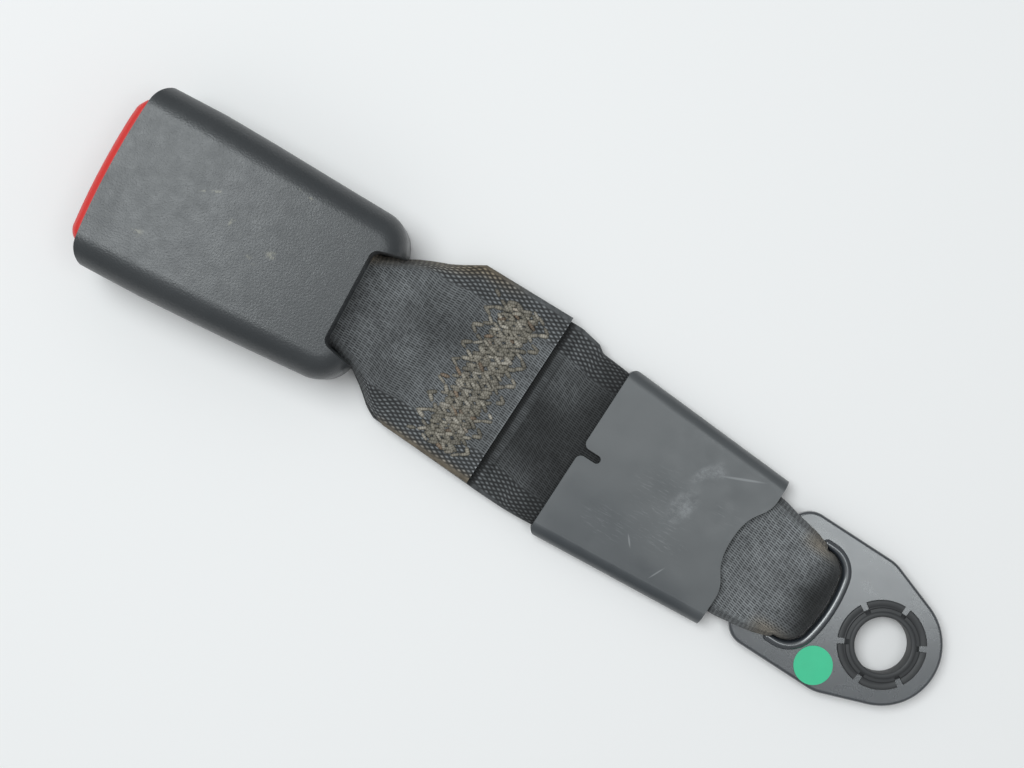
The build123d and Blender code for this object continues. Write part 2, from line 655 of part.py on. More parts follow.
def latch():
    arm_l = LATCH_END_X - PIVOT_X
    slope = (ARM_END_Z - PIVOT_Z) / (LATCH_END_X - NOSE_L - PIVOT_X)
    mid = LATCH_T / 2 / math.cos(math.atan(slope))
    end_z = PIVOT_Z + slope * arm_l
    arm = Polygon((PIVOT_X, PIVOT_Z - mid), (LATCH_END_X, end_z - mid), (LATCH_END_X, end_z + mid),
                  (PIVOT_X, PIVOT_Z + mid), align=None)
    body = side_prism(arm, -LATCH_HALF, LATCH_HALF)
    for side in (-1, 1):
        body -= block(LATCH_NECK_X, BIG, *sorted((side * NOSE_HALF, side * BIG)), 0, BIG)
    body -= cross_block(PIVOT_X - BIG, PIVOT_X + KNUCKLE_R, KNUCKLE_Y0, 0, BIG)
    body -= cross_block(LATCH_WINDOW_X0, LATCH_WINDOW_X1, LATCH_WINDOW_W / 2, 0, BIG)
    body += cross_block(LATCH_END_X - NOSE_L, LATCH_END_X, NOSE_HALF, NOSE_Z, ARM_END_Z)
    knuckle = Pos(PIVOT_X, PIVOT_Z) * Circle(KNUCKLE_R)
    body += both_sides(side_prism(knuckle, KNUCKLE_Y0, LATCH_HALF))
    return body - side_prism(Pos(PIVOT_X, PIVOT_Z) * Circle(PIN_R + RUN_FIT), -BIG, BIG)


def cross_pin(x, z, half):
    return side_prism(Pos(x, z) * Circle(PIN_R), -half, half)


def coil(radius, wire, length, turns):
    """An open coil of round wire along z, from z = 0 to length."""
    rise = length - wire
    path = Helix(pitch=rise / turns, height=rise, radius=radius)
    section = Plane(path @ 0, z_dir=path % 0) * RegularPolygon(wire / 2, 6)
    return Pos(0, 0, wire / 2) * sweep(section, path, is_frenet=True)


def spring_along_x(x0, x1, y, z, radius, wire, turns):
    return Pos(x0, y, z) * Rot(0, 90, 0) * coil(radius, wire, x1 - x0, turns)


def latch_spring():
    """A torsion spring on the latch pin, between the knuckles."""
    radius = PIN_R + RUN_FIT + LATCH_WIRE
    turns = coil(radius, LATCH_WIRE, 2 * LATCH_COIL_HALF, LATCH_TURNS)
    return Pos(PIVOT_X, LATCH_COIL_HALF, PIVOT_Z) * Rot(90, 0, 0) * turns


# Ejector, guide, button


def ejector():
    head_z = FRAME_TOP + SLIDE_GAP
    foot_z = FRAME_Z - SLIDE_GAP
    head = cross_block(EJECT_X, EJECT_X + EJECT_L, EJECT_HALF, head_z, head_z + EJECT_HEAD_T)
    stem = cross_block(EJECT_X, EJECT_X + EJECT_L - SLIDE_GAP, STEM_HALF, foot_z - 1, head_z + 1)
    foot = cross_block(EJECT_X, EJECT_X + EJECT_L, FOOT_HALF, foot_z - FOOT_H, foot_z)
    return head + stem + foot


def tongue_guide():
    depth = HOUSING_L - GUIDE_BACK - GUIDE_X0
    body = cross_block(GUIDE_X0, GUIDE_X0 + depth, BUTTON_HALF, FRAME_Z, GUIDE_TOP_Z)
    body = fillet(body.edges().filter_by(Axis.X).group_by(Axis.Z)[0], APERTURE_R - APERTURE_GAP)
    body &= prism(mouth_plan(GUIDE_BACK - MOUTH_BOW / 2), 0, BIG)
    body -= cross_block(0, BIG, TONGUE_HALF, TONGUE_Z0, TONGUE_Z1)
    return body - lead_in(GUIDE_X0 + depth)


def lead_in(face_x):
    """The flare that guides the tongue into its slot."""
    width, height = 2 * TONGUE_HALF, TONGUE_Z1 - TONGUE_Z0
    mid_z = (TONGUE_Z0 + TONGUE_Z1) / 2
    sections = []
    for step in (-3, 1):
        plane = Plane((face_x + step * LEAD_IN / 2, 0, mid_z), x_dir=(0, 1, 0), z_dir=(1, 0, 0))
        flare = (step + 3) * LEAD_IN / 4
        sections.append(plane * Rectangle(width + 2 * flare, height + flare))
    return loft(sections, ruled=True)


def button_plan():
    """Plan of the button, with its bowed front face and rounded corners."""
    nose_x = HOUSING_L + BUTTON_PROUD
    half = BUTTON_HALF
    front = ThreePointArc((nose_x - BUTTON_BOW, half), (nose_x, 0), (nose_x - BUTTON_BOW, -half))
    rest = Polyline((nose_x - BUTTON_BOW, -half), (BUTTON_X0, -half), (BUTTON_X0, half), (nose_x - BUTTON_BOW, half))
    face = make_face(front + rest)
    return fillet(face.vertices().group_by(Axis.X)[-1], BUTTON_CORNER_R)


def release_button():
    body = prism(button_plan(), BUTTON_Z0, BUTTON_Z1)
    rims = body.edges().group_by(Axis.Z)
    front = [e for e in rims[0] + rims[-1] if e.center().X > BUTTON_X0 + BUTTON_WALL]
    body = fillet(front, BUTTON_EDGE_R)
    hollow_x = HOUSING_L + BUTTON_PROUD - BUTTON_BOW - BUTTON_WALL
    hollow = cross_block(BUTTON_X0 - BUTTON_WALL, hollow_x, BUTTON_HALF - BUTTON_WALL,
                         BUTTON_Z0 + BUTTON_WALL, BUTTON_Z1 - BUTTON_WALL)
    return body - hollow


def button_carriage():
    """The U-shaped carrier behind the button, whose arms hold the lock pin."""
    cross_x = BUTTON_X0 - CROSSBAR_L
    arms = both_sides(block(ARM_X0, BUTTON_X0, ARM_Y0, ARM_Y1, ARM_Z0, ARM_Z1))
    bar = cross_block(cross_x, BUTTON_X0, ARM_Y1, ARM_Z0, ARM_Z1)
    plug = cross_block(BUTTON_X0, BUTTON_X0 + CROSSBAR_L, BUTTON_HALF - BUTTON_WALL - RUN_FIT,
                       BUTTON_Z0 + BUTTON_WALL + RUN_FIT, BUTTON_Z1 - BUTTON_WALL - RUN_FIT)
    return arms + bar + plug - side_prism(Pos(LOCK_X, LOCK_Z) * Circle(PIN_R + RUN_FIT), -BIG, BIG)


def all_parts():
    frame_side = (ARM_Y0 + ARM_Y1) / 2
    button_springs = [spring_along_x(BUTTON_SEAT_X, ARM_X0, side * frame_side, LOCK_Z, BUTTON_COIL_R,
                                     BUTTON_WIRE, BUTTON_TURNS) for side in (1, -1)]
    eject_spring = spring_along_x(EJECT_SEAT_X, EJECT_X, 0, FRAME_Z - SLIDE_GAP - FOOT_H / 2, EJECT_COIL_R,
                                  EJECT_WIRE, EJECT_TURNS)
    strap = {"anchor_plate": anchor_plate(), "bolt_bush": bolt_bush(), "marker_dot": marker_dot(),
             "sleeve": sleeve(), "stitching": stitching()}
    buckle = {"housing_upper": housing_upper(), "housing_lower": housing_lower(), "tongue_guide": tongue_guide(),
              "buckle_frame": buckle_frame(), "bar_liner": bar_liner(), "latch": latch(),
              "latch_pin": cross_pin(PIVOT_X, PIVOT_Z, BODY_HALF), "latch_spring": latch_spring(),
              "lock_pin": cross_pin(LOCK_X, LOCK_Z, ARM_Y1), "ejector": ejector(), "ejector_spring": eject_spring,
              "release_button": release_button(), "button_carriage": button_carriage(),
              "button_spring_left": button_springs[0], "button_spring_right": button_springs[1]}
    parts = {name: on_strap(shape) for name, shape in strap.items()}
    parts.update({name: on_buckle(shape) for name, shape in buckle.items()})
    parts["webbing"] = webbing()
    return parts


os.makedirs("parts", exist_ok=True)
for node, shape in all_parts().items():
    export_step(shape, f"parts/{node}.step")
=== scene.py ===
"""Looks of a seat belt buckle on its webbing strap, in metres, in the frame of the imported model."""
import json
import math
import random

import bmesh
import bpy
import numpy as np
from mathutils import Matrix, Vector
from mathutils.bvhtree import BVHTree
from mathutils.interpolate import poly_3d_calc


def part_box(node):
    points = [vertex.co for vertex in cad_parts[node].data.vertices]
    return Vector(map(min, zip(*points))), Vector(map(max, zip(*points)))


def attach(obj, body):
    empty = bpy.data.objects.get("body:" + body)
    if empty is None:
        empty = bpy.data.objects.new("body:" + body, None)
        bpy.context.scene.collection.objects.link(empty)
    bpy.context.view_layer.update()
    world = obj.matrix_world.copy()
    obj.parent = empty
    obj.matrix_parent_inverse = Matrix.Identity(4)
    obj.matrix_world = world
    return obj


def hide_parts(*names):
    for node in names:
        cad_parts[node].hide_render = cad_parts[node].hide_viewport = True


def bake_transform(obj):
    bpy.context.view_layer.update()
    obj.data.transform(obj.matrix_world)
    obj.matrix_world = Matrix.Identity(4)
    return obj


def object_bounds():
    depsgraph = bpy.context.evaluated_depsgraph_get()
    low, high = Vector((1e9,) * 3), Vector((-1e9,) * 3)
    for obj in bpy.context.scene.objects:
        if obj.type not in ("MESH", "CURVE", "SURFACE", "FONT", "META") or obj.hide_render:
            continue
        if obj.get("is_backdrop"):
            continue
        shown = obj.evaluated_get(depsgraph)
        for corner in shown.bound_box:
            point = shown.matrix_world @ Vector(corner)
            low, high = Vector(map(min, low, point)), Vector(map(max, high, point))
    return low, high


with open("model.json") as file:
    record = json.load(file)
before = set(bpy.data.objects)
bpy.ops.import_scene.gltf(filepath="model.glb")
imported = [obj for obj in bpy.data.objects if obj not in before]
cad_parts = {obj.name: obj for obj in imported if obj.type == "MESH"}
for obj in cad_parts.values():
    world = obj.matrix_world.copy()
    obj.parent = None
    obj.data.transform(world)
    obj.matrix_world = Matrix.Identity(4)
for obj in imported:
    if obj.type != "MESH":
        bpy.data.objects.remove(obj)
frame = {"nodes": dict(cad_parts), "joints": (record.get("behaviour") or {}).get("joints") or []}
cad_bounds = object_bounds()
NODES = frame["nodes"]
MM = 0.001

# Places that come from the frame
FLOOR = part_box("housing_lower")[0].z
SLEEVE_JOINT = next(j for j in frame["joints"] if j["name"] == "sleeve_slide")
STRAP_YAW = math.atan2(SLEEVE_JOINT["axis"][1], SLEEVE_JOINT["axis"][0])
BUCKLE_LOW, BUCKLE_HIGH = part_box("housing_lower")
BUCKLE_X = BUCKLE_LOW.x
BUCKLE_Y = (BUCKLE_LOW.y + BUCKLE_HIGH.y) / 2

# The photograph was taken straight down, over this place on the strap
CAMERA_HEIGHT = 0.450
CAMERA_STRAP_X = 0.1125
CAMERA_STRAP_Y = -0.0043
CAMERA_LENS = 62.8
CAMERA_TURN = math.radians(-147) + STRAP_YAW

# Light and ground: a dome, and lamps as name, places to the right and up in the picture, size and power
SKY_LOW = 0.28
SKY_HIGH = 0.5
SKY_COLOUR = (0.95, 0.985, 1.0)
LAMPS = [("softbox", -0.28, 0.24, 0.62, 6.3), ("glint", 0.30, -0.05, 0.3, 1.0)]
LAMP_HEIGHT = 1.0
LAMP_COLOUR = (0.93, 0.985, 1.0)
FLOOR_HALF = 1.5


def strap_matrix():
    """From strap coordinates, x along the strap from the bolt hole, to the part's frame."""
    return Matrix.Rotation(STRAP_YAW, 4, "Z")


def add_camera():
    """The camera of the photograph."""
    data = bpy.data.cameras.new("camera")
    data.lens = CAMERA_LENS
    camera = bpy.data.objects.new("camera", data)
    camera.location = strap_matrix() @ Vector((CAMERA_STRAP_X, CAMERA_STRAP_Y, 0))
    camera.location.z = FLOOR + CAMERA_HEIGHT
    camera.rotation_euler = (0, 0, CAMERA_TURN)
    bpy.context.scene.collection.objects.link(camera)
    bpy.context.scene.camera = camera


def add_area(name, place, target, size, power):
    """A round lamp that points at a target."""
    data = bpy.data.lights.new(name, "AREA")
    data.shape = "DISK"
    data.size = size
    data.energy = power
    data.color = LAMP_COLOUR
    lamp = bpy.data.objects.new(name, data)
    lamp.location = place
    aim = Vector(target) - Vector(place)
    lamp.rotation_euler = aim.to_track_quat("-Z", "Y").to_euler()
    bpy.context.scene.collection.objects.link(lamp)


def add_lights():
    """The lamps above the strap, placed as the picture shows their reflections, and the sky."""
    centre = strap_matrix() @ Vector((CAMERA_STRAP_X, CAMERA_STRAP_Y, 0))
    picture_up = Matrix.Rotation(CAMERA_TURN, 3, "Z") @ Vector((0, 1, 0))
    picture_right = picture_up.cross(Vector((0, 0, 1)))
    for name, right, up, size, power in LAMPS:
        place = centre + picture_right * right + picture_up * up + Vector((0, 0, LAMP_HEIGHT))
        add_area(name, place, centre, size, power)
    add_sky()
    bpy.context.scene.view_settings.view_transform = "Standard"


def add_sky():
    """A soft dome, brighter overhead than at the horizon."""
    world = bpy.data.worlds.new("studio")
    world.use_nodes = True
    tree = world.node_tree
    coords = tree.nodes.new("ShaderNodeTexCoord")
    split = tree.nodes.new("ShaderNodeSeparateXYZ")
    level = tree.nodes.new("ShaderNodeMapRange")
    level.inputs["To Min"].default_value = SKY_LOW
    level.inputs["To Max"].default_value = SKY_HIGH
    tree.links.new(coords.outputs["Generated"], split.inputs[0])
    tree.links.new(split.outputs["Z"], level.inputs["Value"])
    tree.links.new(level.outputs[0], tree.nodes["Background"].inputs["Strength"])
    tree.nodes["Background"].inputs["Color"].default_value = (*SKY_COLOUR, 1)
    bpy.context.scene.world = world


# Short names of the shader's sockets
SOCKETS = {
    "colour": "Base Color", "rough": "Roughness", "metal": "Metallic", "specular": "Specular IOR Level",
    "coat": "Coat Weight", "coat_rough": "Coat Roughness", "sheen": "Sheen Weight",
}


class Nodes:
    """A small helper that adds and links shader nodes."""

    def __init__(self, name):
        self.material = bpy.data.materials.new(name)
        self.material.use_nodes = True
        self.tree = self.material.node_tree
        self.shader = self.tree.nodes["Principled BSDF"]
        self.coords = self.add("ShaderNodeTexCoord").outputs["Object"]

    def add(self, kind, **settings):
        node = self.tree.nodes.new(kind)
        for key, value in settings.items():
            setattr(node, key, value)
        return node

    def put(self, socket, value):
        if isinstance(value, bpy.types.NodeSocket):
            self.tree.links.new(value, socket)
        else:
            socket.default_value = value

    def mapped(self, turn=0.0, stretch=(1, 1, 1)):
        node = self.add("ShaderNodeMapping")
        self.put(node.inputs["Vector"], self.coords)
        node.inputs["Rotation"].default_value = (0, 0, turn)
        node.inputs["Scale"].default_value = stretch
        return node.outputs[0]

    def noise(self, scale, detail=3.0, rough=0.55, vector=None):
        node = self.add("ShaderNodeTexNoise")
        self.put(node.inputs["Vector"], vector or self.coords)
        node.inputs["Scale"].default_value = scale
        node.inputs["Detail"].default_value = detail
        node.inputs["Roughness"].default_value = rough
        return node.outputs["Fac"]

    def ramp(self, fac, stops):
        node = self.add("ShaderNodeValToRGB")
        self.put(node.inputs["Fac"], fac)
        ramp = node.color_ramp
        while len(ramp.elements) < len(stops):
            ramp.elements.new(0.5)
        for element, (place, colour) in zip(ramp.elements, stops):
            element.position = place
            value = (colour,) * 3 if isinstance(colour, (int, float)) else colour
            element.color = (*value, 1)
        return node.outputs["Color"]

    def math(self, operation, a, b=0.0, c=0.0):
        node = self.add("ShaderNodeMath", operation=operation)
        for socket, value in zip(node.inputs, (a, b, c)):
            self.put(socket, value)
        return node.outputs[0]

    def attribute(self, name, output="Vector"):
        return self.add("ShaderNodeAttribute", attribute_name=name).outputs[output]

    def split(self, vector):
        node = self.add("ShaderNodeSeparateXYZ")
        self.put(node.inputs[0], vector)
        return list(node.outputs)

    def combine(self, *values):
        node = self.add("ShaderNodeCombineXYZ")
        for socket, value in zip(node.inputs, values):
            self.put(socket, value)
        return node.outputs[0]

    def scaled(self, value, factor, offset):
        return self.math("MULTIPLY_ADD", value, factor, offset)

    def times(self, a, b):
        return self.math("MULTIPLY", a, b)

    def hump(self, value, power):
        """1 in the middle of each whole step of a value and 0 at its ends."""
        away = self.math("ABSOLUTE", self.scaled(self.math("FRACT", value), 2.0, -1.0))
        return self.math("SUBTRACT", 1.0, self.math("POWER", away, power))

    def smooth(self, value, low, high):
        node = self.add("ShaderNodeMapRange", interpolation_type="SMOOTHSTEP")
        self.put(node.inputs["Value"], value)
        node.inputs["From Min"].default_value = low
        node.inputs["From Max"].default_value = high
        return node.outputs[0]

    def blend(self, fac, a, b):
        node = self.add("ShaderNodeMix", data_type="FLOAT")
        self.put(node.inputs[0], fac)
        self.put(node.inputs[2], a)
        self.put(node.inputs[3], b)
        return node.outputs[0]

    def patch(self, x, y, half_length, half_width, turn=0.0):
        """1 inside a soft oval at a place on the strap, in millimetres, and 0 outside."""
        node = self.add("ShaderNodeMapping", vector_type="TEXTURE")
        self.put(node.inputs["Vector"], self.coords)
        place = strap_matrix() @ Vector((x * MM, y * MM, 0))
        node.inputs["Location"].default_value = place
        node.inputs["Rotation"].default_value = (0, 0, STRAP_YAW + math.radians(turn))
        node.inputs["Scale"].default_value = (half_length * MM, half_width * MM, 1000)
        size = self.add("ShaderNodeVectorMath", operation="LENGTH")
        self.put(size.inputs[0], node.outputs[0])
        return self.smooth(size.outputs["Value"], 1.0, 0.35)

    def patches(self, places, broken):
        """Several soft ovals, broken up by a noise."""
        total = 0.0
        for place in places:
            total = self.math("MAXIMUM", total, self.patch(*place))
        return self.times(total, broken)

    def white(self, vector):
        node = self.add("ShaderNodeTexWhiteNoise")
        self.put(node.inputs["Vector"], vector)
        return node.outputs["Value"]

    def mix(self, fac, a, b, blend="MIX"):
        node = self.add("ShaderNodeMix", data_type="RGBA", blend_type=blend)
        self.put(node.inputs["Factor"], fac)
        self.put(node.inputs["A"], (*a, 1) if isinstance(a, tuple) else a)
        self.put(node.inputs["B"], (*b, 1) if isinstance(b, tuple) else b)
        return node.outputs["Result"]

    def bump(self, height, strength, distance):
        node = self.add("ShaderNodeBump")
        node.inputs["Strength"].default_value = strength
        node.inputs["Distance"].default_value = distance
        self.put(node.inputs["Height"], height)
        self.put(self.shader.inputs["Normal"], node.outputs[0])

    def set(self, **values):
        """Sets the shader's own sockets and returns the material."""
        for key, value in values.items():
            self.put(self.shader.inputs[SOCKETS[key]], (*value, 1) if isinstance(value, tuple) else value)
        return self.material


# Wear as soft ovals, and painted shade on the sleeve: place along and across the strap, half length, half
# width (mm) and turn (degrees)
HOUSING_MARKS = [(177.5, 1.3, 2.2, 1.4, 20), (207.5, 14.5, 3.0, 1.5, 40), (189.5, -0.5, 2.6, 0.8, 70),
                 (180.8, 4.6, 2.2, 0.9, -20), (178.0, -15.5, 3.4, 0.5, -8), (197.0, -4.0, 4.0, 0.5, 30)]
SLEEVE_HAZE = [(57.8, -13.6, 3.6, 2.6, 20), (60.0, -12.2, 6.0, 2.0, 60), (60.5, -2.0, 7.0, 4.0, 80)]
SLEEVE_SCUFFS = [(64.0, 3.0, 12.0, 9.0, 60), (68.0, -3.0, 9.0, 7.0, 30), (59.0, 8.0, 8.0, 5.0, 0),
                 (75.0, 12.0, 8.0, 6.0, 0), (50.0, -6.0, 5.0, 4.0, 0)]
# Painted shade: soft ovals where the sleeve is darkened as if less light fell on it
SLEEVE_PAINTED_SHADE = [(77.0, 17.0, 20.0, 17.0, 0), (60.0, 21.0, 22.0, 10.0, 0)]
SLEEVE_SCRATCHES = [(51.6, -15.6, 7.2, 0.42, 24), (67.0, 12.5, 2.2, 0.3, -50), (57.0, 15.5, 3.0, 0.25, 65)]
DIRT = (0.15, 0.145, 0.115)
SCUFFED = (0.30, 0.31, 0.32)
SCRATCHED = (0.34, 0.35, 0.36)


def housing_plastic():
    """Dark grey moulded plastic with a fine leather-like grain and a few dirt marks."""
    n = Nodes("housing_plastic")
    broad = n.noise(45, 2)
    tint = n.ramp(broad, [(0.3, (0.027, 0.030, 0.033)), (0.7, (0.034, 0.037, 0.040))])
    broken = n.smooth(n.noise(420, 5, 0.7), 0.48, 0.62)
    tint = n.mix(n.patches(HOUSING_MARKS, broken), tint, DIRT)
    rough = n.ramp(n.noise(300, 3), [(0.3, 0.33), (0.7, 0.41)])
    n.bump(n.noise(2100, 2, 0.6), 0.5, 0.00014)
    return n.set(colour=tint, rough=rough, specular=0.65)


def sleeve_plastic():
    """Smooth moulded plastic, scuffed and with two long scratches, and darker with painted shade in two soft
    ovals.
    """
    n = Nodes("sleeve_plastic")
    tint = n.mix(n.noise(70, 4), (0.056, 0.061, 0.065), (0.066, 0.072, 0.076))
    # Painted shade: the colour darkens inside the painted shade ovals
    tint = n.mix(n.patches(SLEEVE_PAINTED_SHADE, 0.75), tint, (0.030, 0.036, 0.042))
    hazy = n.smooth(n.noise(330, 8, 0.85), 0.36, 0.70)
    drawn_out = n.mapped(STRAP_YAW + math.radians(35), (260, 1900, 300))
    fine = n.smooth(n.noise(1, 5, 0.7, drawn_out), 0.52, 0.68)
    tint = n.mix(n.times(n.patches(SLEEVE_SCUFFS, fine), 0.18), tint, SCUFFED)
    tint = n.mix(n.times(n.patches(SLEEVE_HAZE, hazy), 0.45), tint, SCUFFED)
    tint = n.mix(n.patches(SLEEVE_SCRATCHES, 0.35), tint, SCRATCHED)
    rough = n.ramp(n.noise(200, 3), [(0.3, 0.30), (0.7, 0.42)])
    n.bump(n.noise(38, 2), 0.6, 0.0012)
    return n.set(colour=tint, rough=rough, specular=0.8)


def plain_plastic(name, colour, rough):
    """Moulded plastic with a slightly uneven colour and gloss."""
    n = Nodes(name)
    tint = n.mix(n.noise(120, 3), colour, tuple(c * 0.8 for c in colour))
    gloss = n.ramp(n.noise(200, 3), [(0.3, rough), (0.7, rough + 0.1)])
    n.bump(n.noise(1500, 2), 0.15, 0.00005)
    return n.set(colour=tint, rough=gloss)


def steel():
    """Zinc plated steel."""
    n = Nodes("zinc_steel")
    tint = n.ramp(n.noise(60, 4), [(0.3, (0.50, 0.50, 0.48)), (0.7, (0.62, 0.62, 0.60))])
    rough = n.ramp(n.noise(150, 3), [(0.3, 0.28), (0.7, 0.42)])
    n.bump(n.noise(900, 3), 0.2, 0.00005)
    return n.set(colour=tint, rough=rough, metal=1.0)


def black_coat():
    """Glossy black coat on the anchor plate."""
    n = Nodes("black_coat")
    tint = n.ramp(n.noise(80, 3), [(0.3, (0.016, 0.020, 0.026)), (0.7, (0.026, 0.031, 0.038))])
    n.bump(n.noise(350, 3), 0.25, 0.00006)
    rough = n.ramp(n.noise(180, 4), [(0.3, 0.25), (0.7, 0.31)])
    return n.set(colour=tint, rough=rough, specular=1.0, coat=0.9, coat_rough=0.14)


def floor_material():
    """Plain white ground."""
    return Nodes("floor_white").set(colour=(0.90, 0.885, 0.88), rough=0.95)


def shade_smooth(mesh):
    """Shades every face of a mesh smooth."""
    mesh.polygons.foreach_set("use_smooth", [True] * len(mesh.polygons))


def put_attribute(mesh, name, values):
    """Stores one number, or three, for each point of a mesh."""
    values = np.asarray(values, dtype=np.float32)
    kind, key = ("FLOAT_VECTOR", "vector") if values.ndim > 1 else ("FLOAT", "value")
    mesh.attributes.new(name, kind, "POINT").data.foreach_set(key, values.ravel())


def add_object(name, mesh, material):
    """A new object in the scene, with one material."""
    thing = bpy.data.objects.new(name, mesh)
    mesh.materials.append(material)
    bpy.context.scene.collection.objects.link(thing)
    return thing


def copied_mesh(node):
    """A copy of a CAD node's mesh, in the part's frame."""
    bm = bmesh.new()
    bm.from_mesh(NODES[node].data)
    bm.transform(NODES[node].matrix_world)
    return bm


def finished_mesh(bm, name):
    """A smooth mesh from an edited copy, which is freed."""
    mesh = bpy.data.meshes.new(name)
    bm.to_mesh(mesh)
    bm.free()
    shade_smooth(mesh)
    return mesh


# Webbing: stations along the strap and widths in millimetres, heights from the middle of the plate
WEB_T = 1.25
WEB_HALF = 24.0
EDGE_R = 0.6
ROLLED_RIM = 2.5
CURL_ROUND = 0.98
CELL_ALONG = 0.6
CELLS_ACROSS = 56
CELL_CROWDING = 0.86
ARC_POINTS = 25
EASE_REACH = 3

# Where the buckle begins and the strap turns into the buckle's direction
BUCKLE_STATION = 149.3
TURN_START = 136.0
TURN_END = 150.0

# The fold in the plate's slot, and where the layers beside it part
FOLD_X = 20.95
FOLD_R = 3.525
FOLD_HALF = 12.15
FOLD_OUT = 34.5
FLAT_FROM = 42
NOSE_REACH = 10

# The loop round the buckle's bar, and where the layers beside it part
LOOP_X = 166.1
LOOP_R = 2.925
LOOP_Z = 5.05
LOOP_NEAR = 157.5
PARTING = 142.5
THROAT_HALF = 12.3

# Heights of the layers, the ends of the top and the inner one, and the ridge next to the top one's end
TOP_Z = 2.03
LAYER_Z = 0.675
TOP_END = 108.6
INNER_END = 134.2
RIDGE_X = 106.2
RIDGE_HEIGHT = 0.45
RIDGE_REACH = 0.8

# The rounded slot in the plate that the fold follows
SLOT_NOSE_X = 16.8
LIP_R = 35.66
LIP_INSET = 0.4
LIP_HALF = 7.9
CORNER_R = 5.6
CORNER_Y = 6.6
CORNER_X = 23.14
CORNER_STOP = 0.15

# Two stations along the strap near the plate, whose places in the part's frame are worked out and not used
BEND_START = 40
BEND_END = 28

# Side edges seen in the photograph: station and distance from the strap's own middle line
TOP_LEFT = [(108, 22.6), (134, 21.8), (141, 18.9), (146, 15.6), (150, 13.4)]
TOP_RIGHT = [(108, 26.4), (133.8, 25.7), (141, 20.3), (146, 17.6), (150, 15.3)]
LAYER_LEFT = [(20, 12.6), (22, 12.9), (30, 14.7), (35, 15.6), (42, 16.9), (50, 18.9), (88, 22.3), (92, 22.7),
              (97.5, 23.0), (105, 22.9), (137, 21.7), (141, 20.4), (147, 16.6), (150, 14.2)]
LAYER_RIGHT = [(20, 12.6), (22, 12.9), (30, 14.7), (35, 15.6), (42, 17.6), (50, 19.1), (88, 22.3), (92, 22.7),
               (97.5, 23.1), (99.5, 24.5), (105, 25.5), (133, 25.0), (141, 19.4), (147, 16.8), (150, 15.2)]


def arc(centre, radius, start, end, count):
    """Points of an arc in side view, angles in degrees."""
    turns = np.radians(np.linspace(start, end, count))
    return [(centre[0] + radius * math.cos(t), centre[1] + radius * math.sin(t)) for t in turns]


def eased(values, reach):
    """Values along a line, averaged with their neighbours, ends kept."""
    weights = np.hanning(2 * reach + 3)[1:-1]
    weights /= weights.sum()
    before = 2 * values[0] - values[reach:0:-1]
    after = 2 * values[-1] - values[-2:-reach - 2:-1]
    return np.convolve(np.concatenate([before, values, after]), weights, "valid")


def strap_path():
    """The centre line of the one continuous strap in side view: station, height and length so far."""
    top = [(TOP_END, TOP_Z), (PARTING, TOP_Z), (LOOP_NEAR, LOOP_Z + LOOP_R)]
    loop = arc((LOOP_X, LOOP_Z), LOOP_R, 90, -90, ARC_POINTS)
    low = [(LOOP_NEAR, LOOP_Z - LOOP_R), (PARTING, -LAYER_Z), (FLAT_FROM, -LAYER_Z), (FOLD_OUT, -FOLD_R)]
    fold = arc((FOLD_X, 0), FOLD_R, 270, 90, ARC_POINTS)
    inner = [(FOLD_OUT, FOLD_R), (FLAT_FROM, LAYER_Z), (INNER_END, LAYER_Z)]
    points = np.array(top + loop + low + fold + inner)
    run = np.concatenate([[0], np.cumsum(np.hypot(*np.diff(points, axis=0).T))])
    along = np.linspace(0, run[-1], round(run[-1] / CELL_ALONG) + 1)
    x, z = (eased(np.interp(along, run, points[:, k]), EASE_REACH) for k in (0, 1))
    return x, z, along


def step(value, low, high):
    """Smooth step from 0 at low to 1 at high."""
    t = np.clip((value - low) / (high - low), 0, 1)
    return t * t * (3 - 2 * t)


def nose_shift(across):
    """How far the fold's nose falls back from its tip, following the rounded slot."""
    y = np.minimum(np.abs(across), CORNER_Y + CORNER_R - CORNER_STOP)
    lip = SLOT_NOSE_X + LIP_R - LIP_INSET - np.sqrt((LIP_R - LIP_INSET) ** 2 - y ** 2)
    corner = CORNER_X - np.sqrt(CORNER_R ** 2 - np.maximum(y - CORNER_Y, 0) ** 2)
    return np.where(y > LIP_HALF, corner, lip) - SLOT_NOSE_X


def to_buckle(x, y):
    """Plan position of a strap point that follows the buckle's own axis, in the part's frame."""
    return x - BUCKLE_STATION + BUCKLE_X / MM, y + BUCKLE_Y / MM


def row_layers(x):
    """The layer of each row of the path: 0 on top, 1 at the bottom and 2 between them."""
    rows = np.arange(len(x))
    return np.where(rows < np.argmax(x), 0, np.where(rows < np.argmin(x), 1, 2))


def column_shares():
    """Places across the strap from -1 to 1, closer together near its edges."""
    turns = np.linspace(-1, 1, CELLS_ACROSS + 1) * math.pi / 2 * CELL_CROWDING
    return np.sin(turns) / math.sin(math.pi / 2 * CELL_CROWDING)


def strap_surface():
    """Middle surface of the strap as grids of x, y, z, the cloth's own u and v, and the layer."""
    x, z, along = strap_path()
    share = column_shares()
    x, z, u, layer = (np.repeat(line[:, None], len(share), 1) for line in (x, z, along, row_layers(x)))
    fallen = 1 - step(x, FOLD_X - 2.2, FOLD_X - 0.3)
    straight = x
    for _ in range(3):
        half, centre = strap_width(straight, layer)
        half = half * (1 - fallen) + FOLD_HALF * fallen
        y = half * share
        straight = x + nose_shift(y) * (1 - step(x, FOLD_X, FOLD_X + NOSE_REACH))
    rim = np.clip((np.abs(y) - half) / ROLLED_RIM + 1, 0, 1)
    v = y + np.sign(y) * np.maximum(WEB_HALF - half, 0) * rim ** 2
    z = z - curl_depth(straight, layer) * (1 - np.sqrt(1 - CURL_ROUND * rim ** 2))
    return straight, y + centre, z, u, v, layer


